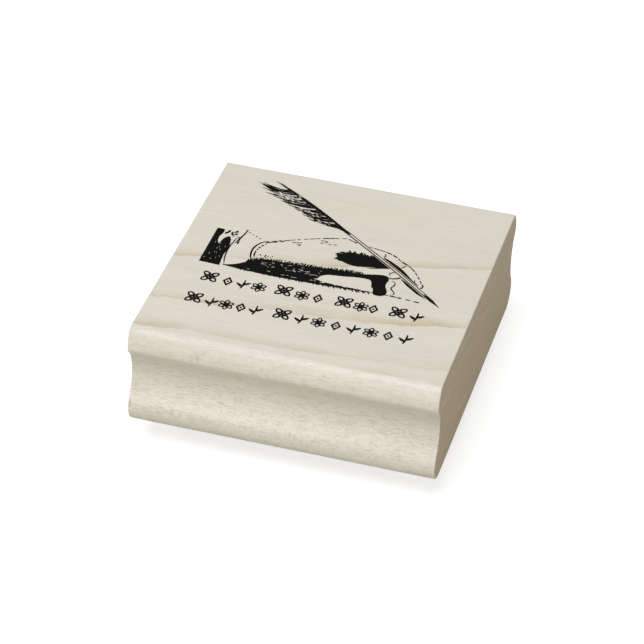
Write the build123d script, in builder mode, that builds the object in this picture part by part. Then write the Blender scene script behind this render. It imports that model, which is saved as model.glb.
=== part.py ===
from build123d import *
from math import cos, pi, radians, sin
from random import Random
import os

# A wood-mounted art stamp: a moulded maple block, a foam cushion and a rubber die, glued in a
# stack. Millimetres, Z up. Z = 0 is the printing face of the rubber, and the middle of the
# block's footprint is the origin.

# Block
BLOCK_LENGTH = 63.5        # along the moulding, X
BLOCK_HEIGHT = 23.3
RIDGE_HALF_DEPTH = 31.4    # half the flat top, Y
RIDGE_SLOPE = 14.0         # degrees below level where the shoulder leaves the flat top
SHOULDER_RADIUS = 2.2
BREAST_SLOPE = 60.0        # degrees below level where the gentle front of the nose begins
BREAST_RADIUS = 6.6
NOSE_RADIUS = 1.6
NOSE_TURN = 50.0           # degrees the side leans in under the nose
NECK_RADIUS = 3.8          # the tight start of the cove
NECK_TURN = 28.0
UPPER_COVE_RADIUS = 11.0
LOWER_COVE_RADIUS = 9.8
FOOT_RADIUS = 3.4
FOOT_TURN = 36.0           # degrees the side leans out over the foot
HEEL_RADIUS = 4.1
ARRIS_RADIUS = 0.3         # sanded edges

# Glued stack under the block
RELIEF_DEPTH = 1.0
RUBBER_BASE = 1.4
DIE_ADHESIVE = 0.1
FOAM_THICKNESS = 3.2
MOUNTING_ADHESIVE = 0.1
TRIM_LEFT = -28.0          # the stack is trimmed close round the picture
TRIM_RIGHT = 27.0
TRIM_FRONT = -23.5
TRIM_BACK = 28.5
TRIM_CORNER = 5.0

# Printing
INK_THICKNESS = 0.05
NIB = Vector(24.7, -6.4)
PLUME = Vector(-18.2, 26.9)
QUILL_BOW = 0.85           # how far the shaft bows off its chord
SHAFT_WIDTH = 0.62
UPPER_ROW_Y = -10.5
LOWER_ROW_Y = -18.4
INITIAL_SIZE = 4.2
ORNAMENT_SIZE = 3.2
SMALLEST_ISLAND = 0.05     # square millimetres; anything less wouldn't print

# Heights of the joints in the stack
RUBBER_BASE_Z = RELIEF_DEPTH
RUBBER_TOP_Z = RUBBER_BASE_Z + RUBBER_BASE
FOAM_Z = RUBBER_TOP_Z + DIE_ADHESIVE
FOAM_TOP_Z = FOAM_Z + FOAM_THICKNESS
BLOCK_Z = FOAM_TOP_Z + MOUNTING_ADHESIVE
BLOCK_TOP_Z = BLOCK_Z + BLOCK_HEIGHT


def ink_area(*points, sharp=False):
    """A closed ink area through a few points, smooth or straight-sided."""
    with BuildSketch(mode=Mode.PRIVATE) as area:
        with BuildLine():
            if sharp:
                Polyline(*points, close=True)
            else:
                Spline(*points, periodic=True)
        make_face()
    return area.sketch


def pen_stroke(*points, width=0.4, start=0.0, end=0.0, samples=7):
    """A pen line through points; start and end are its widths there as shares of width."""
    with BuildLine(mode=Mode.PRIVATE) as centre:
        if len(points) > 2:
            Spline(*points)
        else:
            Line(*points)
    path = centre.line
    left, right = [], []
    for i in range(samples):
        t = i / (samples - 1)
        swell = sin(pi * t) ** 0.6
        share = swell + (1 - swell) * (start * (1 - t) + end * t)
        half = max(width * share / 2, 0.02)
        along = path % t
        across = Vector(-along.Y, along.X) * half
        left.append(path @ t + across)
        right.append(path @ t - across)
    with BuildSketch(mode=Mode.PRIVATE) as stroke:
        with BuildLine():
            one = Spline(*left)
            other = Spline(*right)
            Line(one @ 0, other @ 0)
            Line(one @ 1, other @ 1)
        make_face()
    return stroke.sketch


def fringe(base, lean, reach, width, count, seed):
    """Short tapered strokes that stand along a line of points, as in engraved shading."""
    pick = Random(seed)
    with BuildLine(mode=Mode.PRIVATE) as root_line:
        Spline(*base)
    way = Vector(*lean).normalized()
    strokes = []
    for i in range(count):
        root = root_line.line @ ((i + 0.2 + 0.6 * pick.random()) / count)
        tilt = Vector(pick.uniform(-0.25, 0.25), pick.uniform(-0.1, 0.1))
        tip = root + (way + tilt) * reach * pick.uniform(0.35, 1.0)
        strokes.append(pen_stroke(root - way * 0.5, tip, width=width, start=1.0, samples=4))
    return strokes


def flecks(corner, opposite, lean, length, width, count, seed):
    """Short dashes scattered inside a box."""
    pick = Random(seed)
    way = Vector(*lean).normalized()
    dashes = []
    for _ in range(count):
        x = pick.uniform(corner[0], opposite[0])
        y = pick.uniform(corner[1], opposite[1])
        reach = way * length * pick.uniform(0.5, 1.0)
        dashes.append(pen_stroke(Vector(x, y), Vector(x, y) + reach, width=width, samples=4))
    return dashes


def dashes(*points, width, count, seed, fill=0.85):
    """A broken pen line through points."""
    pick = Random(seed)
    with BuildLine(mode=Mode.PRIVATE) as centre:
        Spline(*points)
    strokes = []
    for i in range(count):
        reach = fill * pick.uniform(0.55, 1.15)
        start = (i + 0.1) / count
        end = min(1.0, start + reach / count)
        ends = [centre.line @ start, centre.line @ end]
        weight = width * pick.uniform(0.6, 1.15)
        strokes.append(pen_stroke(*ends, width=weight, start=0.9, end=0.8, samples=4))
    return strokes


def quill_point(t, offset=0.0):
    """A point on the bowed shaft, t from nib to plume, offset towards the upper vane."""
    run = PLUME - NIB
    across = Vector(run.Y, -run.X).normalized()
    return NIB + run * t + across * (4 * QUILL_BOW * t * (1 - t) + offset)


def quill_line(t_from, t_to, offset, **pen):
    steps = [t_from + (t_to - t_from) * k / 3 for k in range(4)]
    return pen_stroke(*[quill_point(t, offset) for t in steps], **pen)


def barb(t, side, reach, sweep, width):
    """One barb of the feather, from the shaft outwards and back towards the plume."""
    root = quill_point(t, side * 0.12)
    middle = quill_point(t + 0.42 * sweep, side * reach * 0.62)
    tip = quill_point(t + sweep, side * reach)
    return pen_stroke(root, middle, tip, width=width, start=1.0, end=0.2, samples=5)


def quill():
    half = SHAFT_WIDTH / 2
    lines = [
        quill_line(0.05, 0.60, half, width=0.20, start=0.6, end=0.9),
        quill_line(0.05, 0.60, -half, width=0.26, start=0.6, end=0.9),
        quill_line(0.57, 1.03, 0.10, width=0.44, start=0.8, end=0.2),
        ink_area(
            quill_point(0.0),
            quill_point(0.05, half + 0.08),
            quill_point(0.10, 0.08),
            quill_point(0.10, -0.08),
            quill_point(0.05, -half - 0.08),
            sharp=True,
        ),
    ]
    barb_count = 46
    for i in range(barb_count):
        u = i / (barb_count - 1)
        t = 0.58 + 0.38 * u
        # the lower vane widens towards the plume, with one split below its tip
        vane = 3.2 * min(1.0, 6 * u) ** 0.6 + 1.7 * u - 9.0 * max(0.0, u - 0.80)
        ragged = 0.84 + 0.16 * sin(2.3 * i) * sin(0.9 * i)
        if i % 7 != 3 and not 0.74 < u < 0.80:
            lines.append(barb(t, -1, vane * ragged, 0.09 + 0.02 * u, 0.26 + 0.14 * (i % 3 == 0)))
        if i % 9 != 5:
            lines.append(barb(t, 1, 0.62 * sin(pi * (0.15 + 0.7 * u)), 0.05, 0.34))
    with BuildSketch(mode=Mode.PRIVATE) as drawing:
        add(lines)
        # worn gaps in the lower vane
        add(flecks((-17.0, 20.6), (-12.5, 23.6), (-1.0, 0.50), 1.5, 0.26, 20, 11), mode=Mode.SUBTRACT)
        add(flecks((-11.5, 17.2), (-6.5, 19.2), (-1.0, 0.55), 1.3, 0.22, 16, 12), mode=Mode.SUBTRACT)
        add(flecks((-7.0, 15.0), (-3.5, 16.4), (-1.0, 0.45), 1.2, 0.20, 7, 13), mode=Mode.SUBTRACT)
    return drawing.sketch


def hand():
    outline = [
        # back of the hand and forefinger
        *dashes((-15.2, 5.0), (-9.5, 7.7), (-3.5, 10.3), (0.8, 11.6), width=0.28, count=13, seed=21),
        *dashes((-15.0, 4.8), (-13.4, 5.5), (-11.0, 6.8), width=0.30, count=3, seed=24, fill=0.9),
        *dashes((0.8, 11.6), (4.6, 10.3), (10.2, 9.2), (13.4, 7.0), width=0.28, count=9, seed=22),
        *dashes((13.4, 7.0), (16.2, 5.1), (18.1, 2.6), (19.4, 0.3), width=0.32, count=6, seed=23),
        pen_stroke((19.3, 0.4), (19.7, -0.6), (18.9, -1.4), (17.9, -1.0), width=0.36, start=0.6),
        pen_stroke((18.8, -0.2), (17.9, 0.5), (17.6, 1.6), width=0.24, samples=5),
        # knuckle creases
        pen_stroke((9.4, 8.7), (9.8, 8.1), (9.5, 7.4), width=0.26, samples=5),
        pen_stroke((14.6, 5.9), (14.4, 5.2), (13.8, 4.8), width=0.26, samples=5),
        # thumb
        pen_stroke((7.2, 2.6), (9.4, 3.2), (12.2, 3.9), (14.3, 3.0), width=0.36, end=0.6),
        pen_stroke((14.3, 3.1), (14.9, 2.0), (14.1, 0.9), (12.2, 0.6), width=0.40, start=0.6, end=0.4),
        pen_stroke((13.9, 2.6), (12.9, 2.7), (12.2, 2.1), (12.6, 1.4), width=0.26, start=0.3),
        # curled finger
        pen_stroke((13.2, -0.3), (14.2, -1.6), (13.8, -3.0), (14.8, -4.2), (14.3, -5.2), width=0.30),
        # tabletop
        pen_stroke((-21.0, -5.6), (-12.0, -5.9), (-2.0, -5.8), (11.0, -5.5), width=0.95),
        *dashes((10.5, -5.4), (14.0, -5.5), (20.8, -6.0), width=0.34, count=6, seed=25),
    ]
    hollow = ink_area(
        (0.9, 4.9), (2.0, 6.7), (6.0, 6.9), (10.4, 6.8), (12.6, 5.0),
        (11.4, 3.9), (8.4, 3.2), (4.6, 2.5), (1.8, 3.3),
    )
    palm = ink_area(
        (-20.6, -5.4), (-17.6, -3.9), (-14.6, -1.6), (-9.5, -1.0), (-3.5, -0.6), (2.5, 0.0),
        (8.0, 0.4), (12.4, 0.5), (12.6, -0.7), (8.4, -1.2), (3.0, -1.9), (-1.0, -3.4),
        (-1.2, -4.3), (2.0, -5.2), (-3.0, -6.0), (-10.0, -6.1), (-17.0, -5.9),
    )
    finger = ink_area(
        (9.3, -0.9), (12.5, -0.5), (12.5, -2.4), (13.3, -4.4), (13.0, -5.8), (10.8, -5.9), (10.2, -4.0),
    )
    shaded_side = ink_area(
        (10.0, 7.2), (12.6, 5.6), (14.8, 3.8), (17.0, 1.4), (20.3, -2.3), (16.5, 0.2), (13.0, 3.2),
    )
    under_quill = ink_area(
        (14.9, 1.0), (16.9, -0.3), (19.2, -1.9), (22.4, -4.6), (19.6, -3.4), (17.4, -1.7), (15.6, 0.0),
    )
    heel_of_hand = [(-16.8, -3.0), (-14.0, -1.4), (-9.5, -1.0), (-3.5, -0.6), (2.5, 0.0), (7.0, 0.4)]
    with BuildSketch(mode=Mode.PRIVATE) as drawing:
        add(outline)
        add([hollow, palm, finger, shaded_side, under_quill])
        add(fringe([(2.0, 3.4), (0.9, 4.9), (2.0, 6.6)], (-1.0, 0.1), 1.5, 0.42, 9, 3))
        add(fringe([(2.0, 6.6), (6.0, 6.8), (9.5, 6.8)], (-0.5, 1.0), 1.2, 0.42, 13, 4))
        add(fringe(heel_of_hand, (0.15, 1.0), 0.9, 0.26, 76, 5))
        add(flecks((-15.0, -0.9), (-1.5, 0.3), (0.2, 1.0), 0.5, 0.22, 26, 14))
        add(fringe([(-18.0, -5.8), (-5.0, -6.1), (10.0, -5.8)], (0.8, -1.0), 0.8, 0.30, 44, 6))
        add(flecks((-10.0, 5.9), (-6.0, 7.2), (1.0, 0.4), 1.0, 0.20, 6, 7))
        add(flecks((-5.0, 8.2), (-1.5, 9.2), (1.0, 0.4), 1.0, 0.22, 7, 8))
        # light on the resting finger and breaks in the shading
        add(
            ink_area(
                (-1.8, -4.4), (1.0, -3.5), (5.0, -2.3), (9.1, -1.5), (9.7, -3.0), (9.7, -4.6), (5.5, -5.0),
                (1.0, -4.8),
            ),
            mode=Mode.SUBTRACT,
        )
        add(flecks((-15.0, -3.6), (-1.5, -1.6), (0.9, 0.3), 1.1, 0.17, 40, 9), mode=Mode.SUBTRACT)
        add(flecks((-17.0, -5.5), (8.0, -4.9), (1.0, 0.1), 1.1, 0.20, 20, 10), mode=Mode.SUBTRACT)
    return drawing.sketch


def sleeve():
    coat = ink_area(
        (-26.0, -5.8), (-21.6, -6.0), (-21.9, -2.0), (-21.2, 3.0), (-20.8, 7.2), (-23.5, 6.9), (-26.0, 6.9),
        sharp=True,
    )
    lining = ink_area(
        (-24.7, 7.3), (-24.3, 5.6), (-24.7, 3.4), (-24.1, 1.6), (-23.6, 3.5), (-22.7, 4.6), (-22.1, 3.6),
        (-21.7, 1.6), (-21.3, 4.0), (-20.9, 7.6), (-22.8, 8.2),
    )
    cuff = [
        *dashes((-20.2, 8.0), (-18.4, 6.9), (-15.8, 5.5), width=0.26, count=5, seed=31, fill=0.5),
        pen_stroke((-15.0, 5.2), (-16.4, 3.4), (-16.7, 0.0), (-15.6, -2.8), width=0.38, start=0.5),
        *dashes((-14.6, 4.6), (-15.5, 3.0), (-16.0, 0.4), (-15.2, -2.0), width=0.34, count=8, seed=32),
        pen_stroke((-19.7, 8.1), (-20.2, 5.4), (-21.0, 2.4), width=0.34, start=0.5),
        pen_stroke((-21.5, 1.5), (-21.5, -2.0), (-20.7, -5.6), width=0.28, start=0.7),
    ]
    with BuildSketch(mode=Mode.PRIVATE) as drawing:
        add(coat)
        add(lining, mode=Mode.SUBTRACT)
        add(flecks((-25.9, -5.0), (-22.2, 5.0), (0.2, 1.0), 0.5, 0.16, 14, 33), mode=Mode.SUBTRACT)
        add(flecks((-24.2, 4.6), (-21.4, 6.6), (0.5, 1.0), 0.9, 0.34, 16, 34))
        add(flecks((-21.0, 1.6), (-20.4, 4.6), (0.3, 1.0), 1.2, 0.26, 7, 35))
        add(cuff)
    return drawing.sketch


def quill_clearance():
    """The bare band that the quill leaves in the drawing behind it."""
    half = SHAFT_WIDTH / 2 + 0.28
    steps = [0.0, 0.15, 0.30, 0.45, 0.60]
    with BuildSketch(mode=Mode.PRIVATE) as band:
        with BuildLine():
            upper = Spline(*[quill_point(t, half) for t in steps])
            lower = Spline(*[quill_point(t, -half) for t in steps])
            Line(upper @ 0, lower @ 0)
            Line(upper @ 1, lower @ 1)
        make_face()
    return band.sketch


def petals(size, count, turn):
    """Open petals round a small dot."""
    reach = size / 2
    with BuildSketch(mode=Mode.PRIVATE) as flower:
        for k in range(count):
            outer = [(0.16, 0.0), (0.62, 0.34), (1.05, 0.0), (0.62, -0.34)]
            inner = [(0.42, 0.0), (0.66, 0.14), (0.86, 0.0), (0.66, -0.14)]
            for points, mode in ((outer, Mode.ADD), (inner, Mode.SUBTRACT)):
                petal = ink_area(*[(x * reach, y * reach) for x, y in points])
                add(petal.rotate(Axis.Z, turn + 360 / count * k), mode=mode)
        Circle(0.16 * reach)
    return flower.sketch


def lozenge(size):
    reach = size / 2
    with BuildSketch(mode=Mode.PRIVATE) as frame:
        Polygon((0, reach), (0.66 * reach, 0), (0, -reach), (-0.66 * reach, 0), align=None)
        Polygon(
            (0, 0.56 * reach), (0.36 * reach, 0), (0, -0.56 * reach), (-0.36 * reach, 0),
            align=None, mode=Mode.SUBTRACT,
        )
        Circle(0.15 * reach)
    return frame.sketch


def sprig(size):
    """A stem with two leaves."""
    reach = size / 2
    with BuildSketch(mode=Mode.PRIVATE) as plant:
        add(
            pen_stroke(
                (-0.15 * reach, -reach), (0.05 * reach, 0), (0.0, reach),
                width=0.26 * reach, start=0.6, end=0.3, samples=5,
            )
        )
        for side, base in ((-1, -0.5), (1, -0.1)):
            leaf = [(0.0, 0.0), (0.5, 0.05), (0.9, 0.62), (0.32, 0.42)]
            add(ink_area(*[(side * x * reach, (base + y) * reach) for x, y in leaf]))
    return plant.sketch


def ornament_row(y, groups):
    """Printers' ornaments in groups: each is a flower, then small ones spread to the group's end."""
    pieces = []
    kinds = [lozenge(ORNAMENT_SIZE), sprig(ORNAMENT_SIZE), petals(ORNAMENT_SIZE, 6, 30)]
    initial = petals(INITIAL_SIZE, 4, 45)
    for first_x, last_x, small_count in groups:
        pieces.append(initial.moved(Location((first_x + INITIAL_SIZE / 2, y))))
        start = first_x + INITIAL_SIZE + 0.2
        step = (last_x - start) / small_count
        for k in range(small_count):
            small = kinds[(k + small_count) % 3]
            x = start + step * (k + 0.5)
            pieces.append(small.moved(Location((x, y - (INITIAL_SIZE - ORNAMENT_SIZE) / 2))))
    with BuildSketch(mode=Mode.PRIVATE) as row:
        add(pieces)
    return row.sketch


def trimmed_outline():
    """The outline shared by the cushion, the die and the films of adhesive."""
    middle = ((TRIM_LEFT + TRIM_RIGHT) / 2, (TRIM_FRONT + TRIM_BACK) / 2)
    with BuildSketch(mode=Mode.PRIVATE) as outline:
        with Locations(middle):
            RectangleRounded(TRIM_RIGHT - TRIM_LEFT, TRIM_BACK - TRIM_FRONT, TRIM_CORNER)
    return outline.sketch


with BuildSketch(mode=Mode.PRIVATE) as drawing_behind:
    add([hand(), sleeve()])
    add(quill_clearance(), mode=Mode.SUBTRACT)
with BuildSketch(mode=Mode.PRIVATE) as picture:
    add([island for island in drawing_behind.faces() if island.area > SMALLEST_ISLAND])
    add(quill())
picture_art = picture.sketch
upper_groups = [(-24.2, -10.0, 3), (-8.6, 2.4, 2), (4.0, 13.6, 2), (15.2, 22.8, 1)]
lower_groups = [(-25.0, -8.4, 4), (-6.6, 22.8, 7)]
upper_row_art = ornament_row(UPPER_ROW_Y, upper_groups)
lower_row_art = ornament_row(LOWER_ROW_Y, lower_groups)

os.makedirs("parts", exist_ok=True)

# Wood block: one length of moulding, cut square at both ends
with BuildPart() as wood_block:
    with BuildSketch(Plane.YZ.offset(-BLOCK_LENGTH / 2)):
        with BuildLine():
            slope = radians(RIDGE_SLOPE)
            ridge = (RIDGE_HALF_DEPTH, BLOCK_TOP_Z)
            leaving = (cos(slope), -sin(slope))
            shoulder = JernArc(ridge, leaving, SHOULDER_RADIUS, RIDGE_SLOPE - BREAST_SLOPE)
            breast = JernArc(shoulder @ 1, shoulder % 1, BREAST_RADIUS, BREAST_SLOPE - 90)
            nose = JernArc(breast @ 1, (0, -1), NOSE_RADIUS, -NOSE_TURN)
            neck = JernArc(nose @ 1, nose % 1, NECK_RADIUS, NECK_TURN)
            upper_cove = JernArc(neck @ 1, neck % 1, UPPER_COVE_RADIUS, NOSE_TURN - NECK_TURN)
            lower_cove = JernArc(upper_cove @ 1, (0, -1), LOWER_COVE_RADIUS, FOOT_TURN)
            foot = JernArc(lower_cove @ 1, lower_cove % 1, FOOT_RADIUS, -FOOT_TURN)
            heel_flat = Line(foot @ 1, ((foot @ 1).X, BLOCK_Z + HEEL_RADIUS))
            heel = JernArc(heel_flat @ 1, (0, -1), HEEL_RADIUS, -90)
            Line(heel @ 1, (0, BLOCK_Z))
            Line((0, BLOCK_TOP_Z), ridge)
            mirror(about=Plane.YZ)
        make_face()
    extrude(amount=BLOCK_LENGTH)
    ridges = wood_block.edges().filter_by(Axis.X).group_by(Axis.Z)[-1]
    fillet(ridges, ARRIS_RADIUS)
    ends = wood_block.faces().filter_by(Axis.X)
    fillet(ends.edges(), ARRIS_RADIUS)
wood_block.part.label = "wood_block"
export_step(wood_block.part, "parts/wood_block.step")

# Films of adhesive and the foam between them
with BuildPart() as mounting_adhesive:
    with BuildSketch(Plane.XY.offset(FOAM_TOP_Z)):
        add(trimmed_outline())
    extrude(amount=MOUNTING_ADHESIVE)
mounting_adhesive.part.label = "mounting_adhesive"
export_step(mounting_adhesive.part, "parts/mounting_adhesive.step")

with BuildPart() as foam_cushion:
    with BuildSketch(Plane.XY.offset(FOAM_Z)):
        add(trimmed_outline())
    extrude(amount=FOAM_THICKNESS)
foam_cushion.part.label = "foam_cushion"
export_step(foam_cushion.part, "parts/foam_cushion.step")

with BuildPart() as die_adhesive:
    with BuildSketch(Plane.XY.offset(RUBBER_TOP_Z)):
        add(trimmed_outline())
    extrude(amount=DIE_ADHESIVE)
die_adhesive.part.label = "die_adhesive"
export_step(die_adhesive.part, "parts/die_adhesive.step")

# Rubber die: a sheet with the picture standing out of its lower face
with BuildPart() as rubber_die:
    with BuildSketch():
        add([picture_art, upper_row_art, lower_row_art])
    extrude(amount=RELIEF_DEPTH)
    with BuildSketch(Plane.XY.offset(RUBBER_BASE_Z)):
        add(trimmed_outline())
    extrude(amount=RUBBER_BASE)
rubber_die.part.label = "rubber_die"
export_step(rubber_die.part, "parts/rubber_die.step")

# The same picture in ink on top of the block
with BuildPart() as index_print_picture:
    with BuildSketch(Plane.XY.offset(BLOCK_TOP_Z)):
        add(picture_art)
    extrude(amount=INK_THICKNESS)
index_print_picture.part.label = "index_print_picture"
export_step(index_print_picture.part, "parts/index_print_picture.step")

with BuildPart() as index_print_upper_row:
    with BuildSketch(Plane.XY.offset(BLOCK_TOP_Z)):
        add(upper_row_art)
    extrude(amount=INK_THICKNESS)
index_print_upper_row.part.label = "index_print_upper_row"
export_step(index_print_upper_row.part, "parts/index_print_upper_row.step")

with BuildPart() as index_print_lower_row:
    with BuildSketch(Plane.XY.offset(BLOCK_TOP_Z)):
        add(lower_row_art)
    extrude(amount=INK_THICKNESS)
index_print_lower_row.part.label = "index_print_lower_row"
export_step(index_print_lower_row.part, "parts/index_print_lower_row.step")
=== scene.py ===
from math import cos, pi, radians, sin

import bpy
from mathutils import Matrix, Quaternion, Vector, noise


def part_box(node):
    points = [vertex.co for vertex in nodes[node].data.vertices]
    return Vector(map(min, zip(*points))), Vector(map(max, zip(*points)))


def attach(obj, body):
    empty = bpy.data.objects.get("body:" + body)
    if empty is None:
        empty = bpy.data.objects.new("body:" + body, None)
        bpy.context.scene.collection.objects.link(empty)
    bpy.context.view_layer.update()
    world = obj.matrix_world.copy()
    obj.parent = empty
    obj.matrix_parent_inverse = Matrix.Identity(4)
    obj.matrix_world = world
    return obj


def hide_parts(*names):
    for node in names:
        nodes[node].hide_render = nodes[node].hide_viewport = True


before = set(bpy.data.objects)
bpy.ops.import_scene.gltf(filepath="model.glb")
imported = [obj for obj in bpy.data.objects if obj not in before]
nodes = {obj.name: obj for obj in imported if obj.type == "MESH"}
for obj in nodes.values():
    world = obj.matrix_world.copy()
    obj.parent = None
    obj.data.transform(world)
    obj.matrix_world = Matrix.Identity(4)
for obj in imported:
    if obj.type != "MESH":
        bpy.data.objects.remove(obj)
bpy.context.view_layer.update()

MM = 0.001

# Names that end in _SCALE are features per millimetre along X, Y and Z, unless a comment gives
# another unit. A _LEVELS pair is the noise at which a step starts and ends. Colours are linear.

# Camera, aimed near the middle of the block. Angles are in degrees
CAMERA_AIM = Vector((-0.79, -1.02, 16.20)) * MM
CAMERA_AZIMUTH = 14.653
CAMERA_ELEVATION = 35.571
CAMERA_DISTANCE = 581.74 * MM
CAMERA_ROLL = 2.303
CAMERA_LENS = 157.87       # millimetres, as is the sensor
CAMERA_SENSOR = 36.0
CAMERA_NEAR = 10 * MM

# Light. Distances and sizes are in metres
SKY_COLOUR = (1.0, 0.962, 0.885)
SKY_STRENGTH = 0.24
KEY_AZIMUTH = -15.0
KEY_ELEVATION = 62.4
KEY_DISTANCE = 1.6
KEY_SIZE = 0.98
KEY_POWER = 19.5
KEY_COLOUR = (0.99, 1.0, 1.04)
FILL_AZIMUTH = 184.0       # low behind the object, for its back
FILL_ELEVATION = 4.5
FILL_DISTANCE = 1.2
FILL_SIZE = 0.6
FILL_POWER = 2.4
FILL_COLOUR = (1.0, 0.985, 0.95)

# Floor: the sweep that the camera sees, and the one that light bounces off
FLOOR_COLOUR = (0.49, 0.49, 0.49)
FLOOR_COLOUR_TWO = (0.51, 0.51, 0.51)
FLOOR_MOTTLE_SCALE = (0.02, 0.02, 0.02)
FLOOR_ROUGHNESS = 0.9
FLOOR_SPECULAR = 0.1
GLOW_COLOUR = (1.0, 1.0, 1.0, 1.0)
GLOW_NEAR = 0.74
GLOW_FAR = 1.0
GLOW_REACH = (60.0, 260.0)  # millimetres from the origin
SWEEP_FLAT = 1.5           # metres
SWEEP_RADIUS = 1.5
SWEEP_LEVELS = 24
SWEEP_SIDES = 64
BOUNCE_COLOUR = (0.757, 0.737, 0.682)
BOUNCE_COLOUR_TWO = (0.767, 0.747, 0.692)
BOUNCE_REACH = 3.0         # metres
BOUNCE_HEIGHT = -0.1 * MM

# Maple: colours
MAPLE_PALE = (0.830, 0.797, 0.690)
MAPLE_CREAM = (0.810, 0.760, 0.630)
MAPLE_GREY = (0.770, 0.745, 0.670)
MAPLE_LATE = (0.665, 0.558, 0.385)
VESSEL = (0.350, 0.275, 0.170)
RAY = (0.670, 0.545, 0.360)
END_GRAIN = (0.632, 0.515, 0.360)
END_LATE = (0.500, 0.385, 0.250)

# Maple: broad tints and fibres
BROAD_SCALE = (0.018, 0.10, 0.10)
BROAD_LEVELS = (0.30, 0.75)
COOL_SCALE = (0.03, 0.16, 0.16)
COOL_LEVELS = (0.45, 0.75)
TINT_MOST = 0.5
FIBRE_SCALE = (0.13, 1.0, 1.0)
FINE_FIBRE_SCALE = (0.55, 5.0, 5.0)
FIBRE_LEVELS = (0.25, 0.75)
FIBRE_SHADE = (-0.025, 0.015)      # darkest and palest
FINE_FIBRE_SHADE = (-0.05, 0.05)
FINE_FIBRE_ON_TOP = 0.25
TOP_FACING = (0.965, 0.995)        # of the normal's Z, where the sides turn into the top
END_FACING = (0.55, 0.93)          # of the normal's X

# Maple: growth rings, in millimetres of the ring coordinate: where each lies and how strong it is
RINGS = [
    (-118.0, 0.30), (-93.0, 0.22), (-71.0, 0.32), (-47.0, 0.25), (-33.5, 0.65), (-28.8, 0.95),
    (-16.8, 1.0), (-12.5, 0.30), (1.6, 0.95), (24.0, 0.2),
]
RING_EDGE = 0.30           # millimetres
RING_FADE = 3.6
RING_FALL = 1.7            # power of the fade
RING_LEAN = 4.06           # millimetres towards the back for each one down
RING_SKEW = 0.237          # millimetres along Y for each one along X, at the middle
RING_SKEW_GAIN = 0.0055    # more of that for each millimetre back
RING_SKEW_MOST = 0.27
WANDER_SCALE = (0.035, 0.05, 0.12)
WANDER = 5.0               # millimetres
RAGGED_SCALE = (0.30, 0.35, 0.9)
RAGGED = 2.6
PATCH_SCALE = (0.07, 0.14, 0.25)
PATCH_LEVELS = (0.34, 0.60)
PATCH_LEAST = 0.30
RING_STRENGTH = 0.95
RING_ON_SIDES = 0.45

# Maple: vessels. Heights are millimetres up from the block's bottom
DASH_SCALE = (0.58, 7.0, 7.0)
DASH_LEVELS = (0.545, 0.625)
CROWD_SCALE = (0.04, 0.45, 0.60)
CROWD_LEVELS = (0.36, 0.58)
CROWD_LEAST = 0.45
DOT_SCALE = (1.35, 2.1, 2.1)
DOT_RIM = (0.14, 0.42)     # of a cell, from its centre
DOT_SHARE = (0.20, 0.60)   # a cell's random number, from no dot to a full one
DOT_HEIGHTS = (7.0, 12.0)
DOT_ABOVE = 0.30
MARK_HEIGHTS = (15.8, 17.6)
MARK_ABOVE = 0.62
MARK_ON_TOP = 0.10
MARK_STRENGTH = 0.31

# Maple: bands of ray flecks: their scale, its offset, and the lowest and highest height
RAY_BANDS = [
    ((0.75, 0.30, 0.45), (0.3, 0.7, 0.13), 18.2, 21.0),
    ((0.90, 0.30, 0.40), (0.3, 0.7, 0.20), 5.0, 10.0),
]
RAY_BAND_FOOT = 0.8        # millimetres of fade under a band
RAY_BAND_HEAD = 1.5
RAY_RANDOMNESS = 0.8
RAY_RIM = (0.20, 0.50)
RAY_SHARE = (0.15, 0.45)
RAY_SPREAD = 1.2           # power of each fleck's random strength
RAY_CLUSTER_SCALE = (0.07, 0.2, 0.3)
RAY_CLUSTER_LEVELS = (0.34, 0.54)
RAY_STRENGTH = 0.75

# Maple: painted shade on the lower edge, and the end grain
PAINTED_SHADE_HEIGHTS = (1.6, 3.2)
PAINTED_SHADE_RAGGED = 0.8
PAINTED_SHADE_DARKEST = 0.90
END_RING_SCALE = (0.42, 0.05, 0.0)     # across the rings, and along Y
END_RING_LEVELS = (0.35, 0.65)
END_RING_SHADE = (-0.065, 0.065)
PEPPER_SCALE = (0.5, 5.0, 5.0)
PEPPER_LEVELS = (0.30, 0.70)
PEPPER_SHADE = (0.93, 1.04)
CROSS_SCALE = (0.2, 2.6, 0.22)
CROSS_LEVELS = (0.3, 0.7)
CROSS_SHADE = (-0.025, 0.025)
END_LATE_STRENGTH = 0.30

# Maple: relief and gloss. The ink uses the same levels of its own fibre
FIBRE_HEIGHT = 0.35
FINE_FIBRE_HEIGHT = 0.5
MARK_DEPTH = 0.6
GLOSS_LEVELS = (0.2, 0.8)
MAPLE_ROUGHNESS = (0.44, 0.58)
MAPLE_SPECULAR = 0.42

# Ink
INK_BLACK = (0.0045, 0.0042, 0.0040)
INK_SPECK = (0.010, 0.009, 0.008)
INK_THIN = (0.10, 0.09, 0.075)
INK_FIBRE_SCALE = (0.10, 3.0, 3.0)
INK_SPECK_SCALE = (2.2, 3.4, 3.4)
INK_SPECK_LEVELS = (0.50, 0.80)
INK_SPECK_MOST = 0.6
INK_THIN_LEVELS = (0.38, 0.50)
INK_THIN_MOST = 0.15
INK_ROUGHNESS = (0.60, 0.75)
INK_SPECULAR = 0.12

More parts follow.
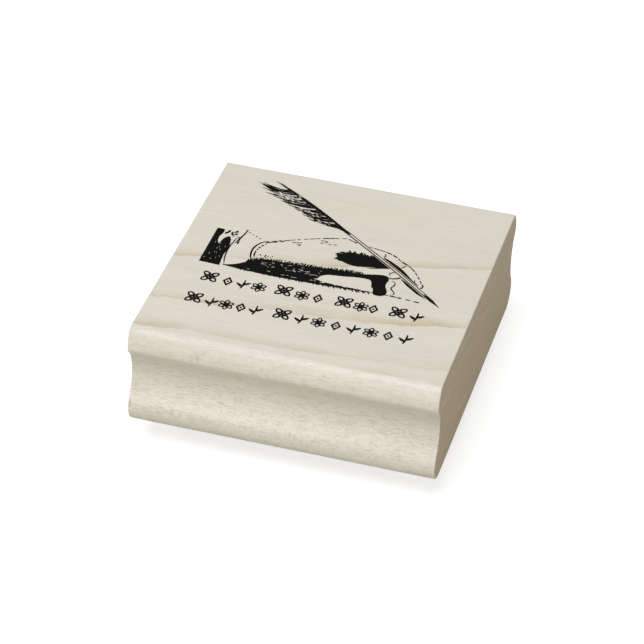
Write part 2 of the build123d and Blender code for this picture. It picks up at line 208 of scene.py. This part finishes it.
# Rubber. Heights are millimetres up from the printing face
RUBBER_RED = (0.330, 0.070, 0.045)
RUBBER_PALE = (0.400, 0.092, 0.060)
RUBBER_PRINTING = (0.225, 0.038, 0.026)
RUBBER_RECESS = (0.52, 0.20, 0.15)
PRINTING_HEIGHTS = (0.05, 0.30)
RECESS_STARTS = (0.70, 0.95)
RECESS_ENDS = (1.02, 1.10)
MOTTLE_SCALE = (0.25, 0.25, 0.25)
GRIT_SCALE = (9.0, 9.0, 9.0)
GRIT_LEAST = 0.25
RECESS_RELIEF = 0.9
RUBBER_LEVELS = (0.3, 0.7)
PRINTING_STRENGTH = 0.7
CHALK = (0.35, 0.80)       # least and most on the recessed floor
RASTER_SCALE = 1.3         # of the wave texture: about four lines to a millimetre
RASTER_DISTORTION = 0.4
RUBBER_ROUGHNESS = (0.55, 0.72)
RUBBER_SPECULAR = 0.35

# Foam. The pore colour is painted shade in the cells' hollows
FOAM_PORE_SHADE = (0.43, 0.43, 0.42)
FOAM_WALL = (0.66, 0.66, 0.645)
FOAM_DULL = (0.52, 0.52, 0.51)
FOAM_WARM = (0.62, 0.61, 0.57)
FOAM_CELL_SCALE = (3.6, 3.6, 3.6)
FOAM_RIM = (0.15, 0.65)    # of a cell, from its centre
FOAM_DULL_MOST = 0.25
FOAM_MOTTLE_SCALE = (0.3, 0.3, 0.3)
FOAM_MOTTLE_LEVELS = (0.3, 0.7)
FOAM_WARM_MOST = 0.12
FOAM_ROUGHNESS = (0.80, 0.95)
FOAM_SPECULAR = 0.2
FOAM_CORNER = 5.0 * MM
FOAM_PITCH = 0.13 * MM     # between the mesh's points
FOAM_CELLS = 3600.0        # per metre, of the pits in the cut wall
FOAM_CELL_REACH = 0.55     # of a cell, from its centre to a pit's rim
FOAM_PIT = 0.11 * MM
FOAM_PULL = 0.14 * MM      # how far the wall pulls in halfway up
FOAM_DRIFT = 0.05 * MM
FOAM_DRIFT_SCALE = 260.0   # per metre
FOAM_PULL_ONSET = 5
FOAM_PIT_ONSET = 7
CAP_RINGS = (0.9, 0.6, 0.3)

# Adhesive film
FILM_DULL = (0.72, 0.68, 0.56)
FILM_PALE = (0.80, 0.775, 0.68)
FILM_BUBBLE = (0.88, 0.87, 0.82)
FILM_CLOUD_SCALE = (0.5, 0.5, 2.0)
FILM_CLOUD_LEVELS = (0.3, 0.7)
FILM_BUBBLE_SCALE = (1.6, 1.6, 1.6)
FILM_BUBBLE_RIM = (0.08, 0.16)
FILM_ROUGHNESS = (0.28, 0.42)


class Shader:
    """A material's node tree, with short ways to add nodes. Places are in millimetres."""

    def __init__(self, name):
        self.material = bpy.data.materials.new(name)
        self.material.use_nodes = True
        self.tree = self.material.node_tree
        self.tree.nodes.clear()
        self.surface = self.add("ShaderNodeBsdfPrincipled")
        output = self.add("ShaderNodeOutputMaterial")
        self.join(self.surface.outputs["BSDF"], output.inputs["Surface"])
        coordinates = self.add("ShaderNodeTexCoord")
        self.object_normal = coordinates.outputs["Normal"]
        per_metre = (1 / MM, 1 / MM, 1 / MM)
        self.place = self.vector("MULTIPLY", coordinates.outputs["Object"], per_metre)

    def add(self, kind, **settings):
        node = self.tree.nodes.new(kind)
        for name, value in settings.items():
            setattr(node, name, value)
        return node

    def join(self, source, target):
        self.tree.links.new(source, target)

    def put(self, value, socket):
        """Sets a socket to a plain value, or links a node's output to it."""
        if isinstance(value, bpy.types.NodeSocket):
            self.join(value, socket)
        else:
            socket.default_value = value

    def vector(self, operation, a, b=(0, 0, 0)):
        node = self.add("ShaderNodeVectorMath", operation=operation)
        self.put(a, node.inputs[0])
        self.put(b, node.inputs[1])
        return node.outputs["Value" if operation == "LENGTH" else "Vector"]

    def math(self, operation, a, b=0.0, c=0.0):
        node = self.add("ShaderNodeMath", operation=operation)
        for value, socket in zip((a, b, c), node.inputs):
            self.put(value, socket)
        return node.outputs["Value"]

    def product(self, first, *others):
        for other in others:
            first = self.math("MULTIPLY", first, other)
        return first

    def split(self, vector):
        node = self.add("ShaderNodeSeparateXYZ")
        self.put(vector, node.inputs[0])
        return node.outputs

    def combine(self, *values):
        node = self.add("ShaderNodeCombineXYZ")
        for value, socket in zip(values, node.inputs):
            self.put(value, socket)
        return node.outputs["Vector"]

    def noise(self, scale, detail=2.0, roughness=0.5, place=None, lift=None):
        """Noise from 0 to 1. lift moves it, so that it doesn't line up with another noise."""
        where = self.vector("MULTIPLY", place or self.place, scale)
        if lift:
            where = self.vector("ADD", where, lift)
        node = self.add("ShaderNodeTexNoise")
        self.join(where, node.inputs["Vector"])
        node.inputs["Scale"].default_value = 1.0
        node.inputs["Detail"].default_value = detail
        node.inputs["Roughness"].default_value = roughness
        return node.outputs[0]

    def swing(self, width, scale, detail=2.0, roughness=0.5):
        """Noise about 0, as wide as this from its lowest to its highest."""
        return self.product(self.math("SUBTRACT", self.noise(scale, detail, roughness), 0.5), width)

    def cells(self, scale, randomness=1.0, lift=None):
        """Voronoi cells: the distance to the nearest centre, and three random numbers for the cell."""
        where = self.vector("MULTIPLY", self.place, scale)
        if lift:
            where = self.vector("ADD", where, lift)
        node = self.add("ShaderNodeTexVoronoi")
        self.join(where, node.inputs["Vector"])
        node.inputs["Scale"].default_value = 1.0
        node.inputs["Randomness"].default_value = randomness
        return node.outputs["Distance"], self.split(node.outputs["Color"])

    def step(self, value, low, high, to_low=0.0, to_high=1.0, kind="SMOOTHSTEP"):
        node = self.add("ShaderNodeMapRange", interpolation_type=kind)
        for number, socket in zip((value, low, high, to_low, to_high), node.inputs):
            self.put(number, socket)
        return node.outputs["Result"]

    def between(self, share, at_none, at_all):
        """From one value to another as a share goes from 0 to 1."""
        return self.step(share, 0.0, 1.0, at_none, at_all)

    def mix(self, share, a, b, blend="MIX"):
        node = self.add("ShaderNodeMix", data_type="RGBA", blend_type=blend)
        self.put(share, node.inputs["Factor"])
        for value, socket in ((a, node.inputs[6]), (b, node.inputs[7])):
            if isinstance(value, tuple):
                value = (*value, 1.0)
            self.put(value, socket)
        return node.outputs[2]

    def shade(self, colour, level):
        """A colour times a level of grey."""
        return self.mix(1.0, colour, self.combine(level, level, level), "MULTIPLY")

    def bump(self, height, distance_mm, strength=1.0):
        node = self.add("ShaderNodeBump")
        self.join(height, node.inputs["Height"])
        node.inputs["Distance"].default_value = distance_mm * MM
        node.inputs["Strength"].default_value = strength
        self.join(node.outputs["Normal"], self.surface.inputs["Normal"])

    def finish(self, colour, roughness, specular=0.5):
        self.put(colour, self.surface.inputs["Base Color"])
        self.put(roughness, self.surface.inputs["Roughness"])
        self.surface.inputs["Specular IOR Level"].default_value = specular
        return self.material


def ring_coordinate(s):
    """Millimetres across the growth rings. Where they meet the top, they run a little askew to X."""
    x, y, z = s.split(s.place)
    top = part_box("wood_block")[1].z / MM
    skew = s.math("MINIMUM", s.math("MULTIPLY_ADD", y, RING_SKEW_GAIN, RING_SKEW), RING_SKEW_MOST)
    across = s.math("SUBTRACT", y, s.product(x, skew))
    leaned = s.math("MULTIPLY_ADD", s.math("SUBTRACT", z, top), RING_LEAN, across)
    wander = s.swing(WANDER, WANDER_SCALE)
    ragged = s.swing(RAGGED, RAGGED_SCALE, detail=4.0, roughness=0.6)
    return s.math("ADD", s.math("ADD", leaned, wander), ragged)


def ring_tint(s, coordinate):
    """Late wood: dark and sharp where each ring lies, and fading out behind it."""
    total = 0.0
    for line, level in RINGS:
        fade = s.step(coordinate, line, line + RING_FADE, level, 0.0, "LINEAR")
        edge = s.step(coordinate, line - RING_EDGE, line)
        total = s.math("MULTIPLY_ADD", s.math("POWER", fade, RING_FALL), edge, total)
    patch = s.noise(PATCH_SCALE, detail=3.0, lift=(0.0, 3.3, 0.0))
    return s.product(total, s.step(patch, *PATCH_LEVELS, PATCH_LEAST, 1.0))


def wood_colour(s, late, fibre, fine_fibre, side):
    """Pale wood with broad tints, growth rings and fibres."""
    broad = s.noise(BROAD_SCALE, lift=(7.3, 1.1, 4.2))
    cool = s.noise(COOL_SCALE, lift=(1.3, 6.1, 0.2))
    colour = s.mix(s.step(broad, *BROAD_LEVELS, 0.0, TINT_MOST), MAPLE_PALE, MAPLE_CREAM)
    colour = s.mix(s.step(cool, *COOL_LEVELS, 0.0, TINT_MOST), colour, MAPLE_GREY)
    colour = s.mix(s.product(late, RING_STRENGTH), colour, MAPLE_LATE)
    streak = s.step(fibre, *FIBRE_LEVELS, *FIBRE_SHADE)
    fine_streak = s.step(fine_fibre, *FIBRE_LEVELS, *FINE_FIBRE_SHADE)
    fine_streak = s.product(fine_streak, s.between(side, FINE_FIBRE_ON_TOP, 1.0))
    return s.shade(colour, s.math("ADD", 1.0, s.math("ADD", streak, fine_streak)))


def vessels(s, height_up, side):
    """Fine dark dashes along the grain, and dots lower down, where they are cut short."""
    level = s.noise(DASH_SCALE, detail=1.0, lift=(3, 9, 5))
    crowd = s.noise(CROWD_SCALE, lift=(4, 1, 5))
    dash = s.product(s.step(level, *DASH_LEVELS), s.step(crowd, *CROWD_LEVELS, CROWD_LEAST, 1.0))
    distance, random = s.cells(DOT_SCALE)
    dot = s.product(s.step(distance, *DOT_RIM, 1.0, 0.0), s.step(random[0], *DOT_SHARE))
    dot = s.product(dot, s.step(height_up, *DOT_HEIGHTS, 1.0, DOT_ABOVE))
    on_faces = s.between(side, MARK_ON_TOP, 1.0)
    on_heights = s.step(height_up, *MARK_HEIGHTS, 1.0, MARK_ABOVE)
    return s.product(s.math("MAXIMUM", dash, dot), on_faces, on_heights)


def ray_flecks(s, colour, height_up, side):
    """Rays: small upright flecks in bands on the moulded sides."""
    clusters = s.noise(RAY_CLUSTER_SCALE, lift=(2, 2, 8))
    clusters = s.step(clusters, *RAY_CLUSTER_LEVELS)
    for scale, lift, low, high in RAY_BANDS:
        distance, random = s.cells(scale, RAY_RANDOMNESS, lift)
        fleck = s.product(s.step(distance, *RAY_RIM, 1.0, 0.0), s.step(random[1], *RAY_SHARE))
        above = s.step(height_up, low - RAY_BAND_FOOT, low)
        below = s.step(height_up, high, high + RAY_BAND_HEAD, 1.0, 0.0)
        strength = s.math("POWER", random[2], RAY_SPREAD)
        ray = s.product(fleck, side, above, below, clusters, strength, RAY_STRENGTH)
        colour = s.mix(ray, colour, RAY)
    return colour


def end_grain(s, rings, late):
    """End grain: fine ring lines, crossed by upright rays and peppered with pores."""
    along_end = s.combine(rings, s.split(s.place)["Y"], 0.0)
    ring_lines = s.noise(END_RING_SCALE, place=along_end)
    pepper = s.noise(PEPPER_SCALE, detail=3.0, roughness=0.65)
    cross = s.noise(CROSS_SCALE, lift=(5, 5, 1))
    level = s.step(pepper, *PEPPER_LEVELS, *PEPPER_SHADE)
    level = s.math("ADD", level, s.step(cross, *CROSS_LEVELS, *CROSS_SHADE))
    level = s.math("ADD", level, s.step(ring_lines, *END_RING_LEVELS, *END_RING_SHADE))
    return s.shade(s.mix(s.product(late, END_LATE_STRENGTH), END_GRAIN, END_LATE), level)


def maple():
    s = Shader("maple")
    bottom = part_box("wood_block")[0].z / MM
    height_up = s.math("SUBTRACT", s.split(s.place)["Z"], bottom)
    facing = s.split(s.object_normal)
    side = s.step(s.math("ABSOLUTE", facing["Z"]), *TOP_FACING, 1.0, 0.0)
    end = s.step(s.math("ABSOLUTE", facing["X"]), *END_FACING)
    fibre = s.noise(FIBRE_SCALE, detail=3.0, roughness=0.6)
    fine_fibre = s.noise(FINE_FIBRE_SCALE, roughness=0.6)
    rings = ring_coordinate(s)
    late = s.product(ring_tint(s, rings), s.between(side, 1.0, RING_ON_SIDES))

    colour = wood_colour(s, late, fibre, fine_fibre, side)
    mark = vessels(s, height_up, side)
    colour = s.mix(s.product(mark, MARK_STRENGTH), colour, VESSEL)
    colour = ray_flecks(s, colour, height_up, side)
    # painted shade: the lower edge is darker towards the floor, standing in for the shade near the
    # ground
    ragged_height = s.math("ADD", height_up, s.product(fibre, PAINTED_SHADE_RAGGED))
    colour = s.shade(colour, s.step(ragged_height, *PAINTED_SHADE_HEIGHTS, PAINTED_SHADE_DARKEST, 1.0))
    colour = s.mix(end, colour, end_grain(s, rings, late))

    height = s.math("MULTIPLY_ADD", fibre, FIBRE_HEIGHT, s.product(fine_fibre, FINE_FIBRE_HEIGHT))
    height = s.math("SUBTRACT", height, s.product(mark, MARK_DEPTH))
    s.bump(height, distance_mm=0.05, strength=0.6)
    return s.finish(colour, s.step(fibre, *GLOSS_LEVELS, *MAPLE_ROUGHNESS), MAPLE_SPECULAR)


def ink():
    """Matt black ink, a little thinner where the fibres stand up."""
    s = Shader("index_ink")
    fibre = s.noise(INK_FIBRE_SCALE, detail=3.0, roughness=0.6)
    speck = s.noise(INK_SPECK_SCALE, roughness=0.7)
    colour = s.mix(s.step(speck, *INK_SPECK_LEVELS, 0.0, INK_SPECK_MOST), INK_BLACK, INK_SPECK)
    thin = s.step(s.product(fibre, speck), *INK_THIN_LEVELS, 0.0, INK_THIN_MOST)
    colour = s.mix(thin, colour, INK_THIN)
    s.bump(s.math("ADD", fibre, s.product(speck, 0.5)), distance_mm=0.03, strength=0.5)
    return s.finish(colour, s.step(fibre, *GLOSS_LEVELS, *INK_ROUGHNESS), INK_SPECULAR)


def die_rubber():
    """Red rubber: darker on the printing face, and chalky on the engraved floor."""
    s = Shader("die_rubber")
    z = s.split(s.place)["Z"]
    mottle = s.noise(MOTTLE_SCALE, detail=4.0, roughness=0.6)
    grit = s.noise(GRIT_SCALE, roughness=0.7)
    printing = s.step(z, *PRINTING_HEIGHTS, 1.0, 0.0)
    recess = s.product(s.step(z, *RECESS_STARTS), s.step(z, *RECESS_ENDS, 1.0, 0.0))
    colour = s.mix(mottle, RUBBER_RED, RUBBER_PALE)
    colour = s.mix(s.product(printing, PRINTING_STRENGTH), colour, RUBBER_PRINTING)
    chalk = s.product(recess, s.step(grit, *RUBBER_LEVELS, *CHALK))
    colour = s.mix(chalk, colour, RUBBER_RECESS)
    # the engraver's raster lines on the recessed floor
    raster = s.add("ShaderNodeTexWave", wave_type="BANDS", bands_direction="Y")
    s.join(s.place, raster.inputs["Vector"])
    raster.inputs["Scale"].default_value = RASTER_SCALE
    raster.inputs["Distortion"].default_value = RASTER_DISTORTION
    lines = s.product(raster.outputs["Fac"], s.product(recess, RECESS_RELIEF))
    gritty = s.product(grit, s.math("MULTIPLY_ADD", recess, RECESS_RELIEF, GRIT_LEAST))
    s.bump(s.math("ADD", gritty, lines), distance_mm=0.04, strength=0.8)
    return s.finish(colour, s.step(mottle, *RUBBER_LEVELS, *RUBBER_ROUGHNESS), RUBBER_SPECULAR)


def foam():
    """Fine closed-cell foam: paler walls between pores darkened with painted shade."""
    s = Shader("cushion_foam")
    distance, random = s.cells(FOAM_CELL_SCALE)
    mottle = s.noise(FOAM_MOTTLE_SCALE, detail=3.0)
    wall = s.step(distance, *FOAM_RIM)
    # the pores get painted shade, the walls the foam's own colour
    colour = s.mix(wall, FOAM_PORE_SHADE, FOAM_WALL)
    colour = s.mix(s.product(random[0], FOAM_DULL_MOST), colour, FOAM_DULL)
    colour = s.mix(s.step(mottle, *FOAM_MOTTLE_LEVELS, 0.0, FOAM_WARM_MOST), colour, FOAM_WARM)
    s.bump(wall, distance_mm=0.10, strength=0.8)
    return s.finish(colour, s.between(random[1], *FOAM_ROUGHNESS), FOAM_SPECULAR)


def adhesive():
    """A thin film, clouded, with small bubbles."""
    s = Shader("adhesive_film")
    cloud = s.noise(FILM_CLOUD_SCALE, detail=3.0)
    distance, random = s.cells(FILM_BUBBLE_SCALE)
    bubble = s.product(s.step(distance, *FILM_BUBBLE_RIM, 1.0, 0.0), random[0])
    colour = s.mix(cloud, FILM_DULL, FILM_PALE)
    colour = s.mix(bubble, colour, FILM_BUBBLE)
    s.bump(cloud, distance_mm=0.02, strength=0.4)
    return s.finish(colour, s.step(cloud, *FILM_CLOUD_LEVELS, *FILM_ROUGHNESS))


def dress(node_name, material):
    mesh = nodes[node_name].data
    mesh.materials.clear()
    mesh.materials.append(material)


def new_piece(name, points, faces, material):
    mesh = bpy.data.meshes.new(name)
    mesh.from_pydata(points, [], faces)
    mesh.update()
    mesh.shade_smooth()
    mesh.materials.append(material)
    piece = bpy.data.objects.new(name, mesh)
    bpy.context.scene.collection.objects.link(piece)
    return piece


def rounded_outline(low, high, corner, pitch):
    """Points and outward normals round a rounded rectangle, anticlockwise and evenly spaced."""
    line = []
    middles = [
        (high.x - corner, high.y - corner, 0),
        (low.x + corner, high.y - corner, 90),
        (low.x + corner, low.y + corner, 180),
        (high.x - corner, low.y + corner, 270),
    ]
    arc_steps = max(8, round(corner * pi / 2 / pitch))
    for k, (x, y, start) in enumerate(middles):
        for i in range(arc_steps + 1):
            turn = radians(start + 90 * i / arc_steps)
            way = Vector((cos(turn), sin(turn), 0))
            line.append((Vector((x, y, 0)) + way * corner, way))
        ahead = middles[(k + 1) % 4]
        turn = radians(ahead[2])
        way = Vector((cos(turn), sin(turn), 0))
        end = Vector((ahead[0], ahead[1], 0)) + way * corner
        start_point = line[-1][0]
        count = max(1, round((end - start_point).length / pitch))
        for i in range(1, count):
            line.append((start_point.lerp(end, i / count), way))
    return line


def cut_wall(outline, low, high, levels):
    """Points of the cut wall, level by level: pulled in halfway up, and pitted with cut cells."""
    points = []
    for level in range(levels + 1):
        t = level / levels
        swell = 4 * t * (1 - t)
        for at, way in outline:
            where = at + Vector((0, 0, low.z + t * (high.z - low.z)))
            near = noise.voronoi(where * FOAM_CELLS)[0][0]
            pit = max(0.0, FOAM_CELL_REACH - near) * FOAM_PIT / FOAM_CELL_REACH
            drift = (noise.noise(where * FOAM_DRIFT_SCALE) * 0.5 + 0.5) * FOAM_DRIFT
            pull = (FOAM_PULL * swell + drift) * min(1.0, swell * FOAM_PULL_ONSET)
            inward = pull + pit * min(1.0, swell * FOAM_PIT_ONSET)
            points.append(where - way * inward)
    return points


def close_with_cap(points, faces, base, count, centre, up):
    """Closes the level of the wall that starts at base, with rings and a fan about the centre."""
    rings = [base]
    for share in CAP_RINGS:
        rings.append(len(points))
        for i in range(count):
            at = points[base + i]
            points.append(centre.lerp(Vector((at.x, at.y, centre.z)), share))
    hub = len(points)
    points.append(centre)
    for outer, inner in zip(rings, rings[1:]):
        for i in range(count):
            j = (i + 1) % count
            face = (outer + i, outer + j, inner + j, inner + i)
            faces.append(face if up else face[::-1])
    for i in range(count):
        face = (rings[-1] + i, rings[-1] + (i + 1) % count, hub)
        faces.append(face if up else face[::-1])


def foam_cushion():
    """The die-cut cushion: flat where it is glued, with a pulled-in wall of cut cells."""
    low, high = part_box("foam_cushion")
    outline = rounded_outline(low, high, FOAM_CORNER, FOAM_PITCH)
    levels = round((high.z - low.z) / FOAM_PITCH)
    points = cut_wall(outline, low, high, levels)
    faces = []
    count = len(outline)
    for level in range(levels):
        for i in range(count):
            j = (i + 1) % count
            a, b = level * count, (level + 1) * count
            faces.append((a + i, a + j, b + j, b + i))
    middle = (low + high) / 2
    close_with_cap(points, faces, 0, count, Vector((middle.x, middle.y, low.z)), up=False)
    close_with_cap(points, faces, levels * count, count, Vector((middle.x, middle.y, high.z)), up=True)
    piece = new_piece("foam_cushion_cut", points, faces, foam())
    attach(piece, "root")
    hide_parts("foam_cushion")


def floor_material(name, colour, colour_two):
    s = Shader(name)
    mottle = s.mix(s.noise(FLOOR_MOTTLE_SCALE, detail=3.0), colour, colour_two)
    s.finish(mottle, FLOOR_ROUGHNESS, FLOOR_SPECULAR)
    return s


def white_sweep():
    """A floor that curves up into a wall and over, all round, and only the camera sees."""
    s = floor_material("white_sweep", FLOOR_COLOUR, FLOOR_COLOUR_TWO)
    glow = s.step(s.vector("LENGTH", s.place), *GLOW_REACH, GLOW_NEAR, GLOW_FAR)
    s.surface.inputs["Emission Color"].default_value = GLOW_COLOUR
    s.put(glow, s.surface.inputs["Emission Strength"])
    points, faces = [Vector((0, 0, 0))], []
    for level in range(SWEEP_LEVELS + 1):
        turn = pi * level / SWEEP_LEVELS
        reach = SWEEP_FLAT + SWEEP_RADIUS * sin(turn)
        height = SWEEP_RADIUS * (1 - cos(turn))
        for i in range(SWEEP_SIDES):
            way = 2 * pi * i / SWEEP_SIDES
            points.append(Vector((reach * cos(way), reach * sin(way), height)))
    top = len(points)
    points.append(Vector((0, 0, 2 * SWEEP_RADIUS)))
    for i in range(SWEEP_SIDES):
        j = (i + 1) % SWEEP_SIDES
        faces.append((0, 1 + i, 1 + j))
        faces.append((top, top - SWEEP_SIDES + j, top - SWEEP_SIDES + i))
        for level in range(SWEEP_LEVELS):
            a, b = 1 + level * SWEEP_SIDES, 1 + (level + 1) * SWEEP_SIDES
            faces.append((a + i, b + i, b + j, a + j))
    sweep = new_piece("white_sweep", points, faces, s.material)
    sweep.visible_diffuse = False
    sweep.visible_glossy = False
    sweep.visible_shadow = False


def bounce_floor():
    """What the light bounces off under the object; the camera doesn't see it."""
    s = floor_material("bounce_floor", BOUNCE_COLOUR, BOUNCE_COLOUR_TWO)
    sides = [(-1, -1), (1, -1), (1, 1), (-1, 1)]
    corners = [(BOUNCE_REACH * x, BOUNCE_REACH * y, BOUNCE_HEIGHT) for x, y in sides]
    floor = new_piece("bounce_floor", corners, [(0, 1, 2, 3)], s.material)
    floor.visible_camera = False


def direction(azimuth, elevation):
    """Unit vector from the object towards a place seen at an azimuth and an elevation."""
    a, e = radians(azimuth), radians(elevation)
    return Vector((sin(a) * cos(e), -cos(a) * cos(e), sin(e)))


def softbox(name, way, distance, size, power, colour):
    """A round soft light, aimed at the origin."""
    lamp = bpy.data.lights.new(name, "AREA")
    lamp.shape = "DISK"
    lamp.size = size
    lamp.energy = power
    lamp.color = colour
    box = bpy.data.objects.new(name, lamp)
    bpy.context.scene.collection.objects.link(box)
    box.location = way * distance
    box.rotation_mode = "QUATERNION"
    box.rotation_quaternion = (-way).to_track_quat("-Z", "Y")
    box.visible_camera = False
    return box


def light():
    world = bpy.data.worlds.new("studio")
    bpy.context.scene.world = world
    world.use_nodes = True
    sky = world.node_tree.nodes["Background"]
    sky.inputs["Color"].default_value = (*SKY_COLOUR, 1.0)
    sky.inputs["Strength"].default_value = SKY_STRENGTH
    way = direction(KEY_AZIMUTH, KEY_ELEVATION)
    softbox("key", way, KEY_DISTANCE, KEY_SIZE, KEY_POWER, KEY_COLOUR)
    way = direction(FILL_AZIMUTH, FILL_ELEVATION)
    fill = softbox("fill", way, FILL_DISTANCE, FILL_SIZE, FILL_POWER, FILL_COLOUR)
    fill.visible_glossy = False


def camera():
    view = bpy.data.cameras.new("camera")
    view.lens = CAMERA_LENS
    view.sensor_width = CAMERA_SENSOR
    view.clip_start = CAMERA_NEAR
    eye = bpy.data.objects.new("camera", view)
    bpy.context.scene.collection.objects.link(eye)
    way = direction(CAMERA_AZIMUTH, CAMERA_ELEVATION)
    eye.location = CAMERA_AIM + way * CAMERA_DISTANCE
    eye.rotation_mode = "QUATERNION"
    level = (-way).to_track_quat("-Z", "Y")
    eye.rotation_quaternion = level @ Quaternion((0, 0, 1), radians(CAMERA_ROLL))
    bpy.context.scene.camera = eye


dress("wood_block", maple())
ink_material = ink()
for name in ("index_print_picture", "index_print_upper_row", "index_print_lower_row"):
    dress(name, ink_material)
dress("rubber_die", die_rubber())
film = adhesive()
for name in ("mounting_adhesive", "die_adhesive"):
    dress(name, film)
foam_cushion()

white_sweep()
bounce_floor()
light()
camera()
bpy.context.scene.view_settings.view_transform = "Standard"
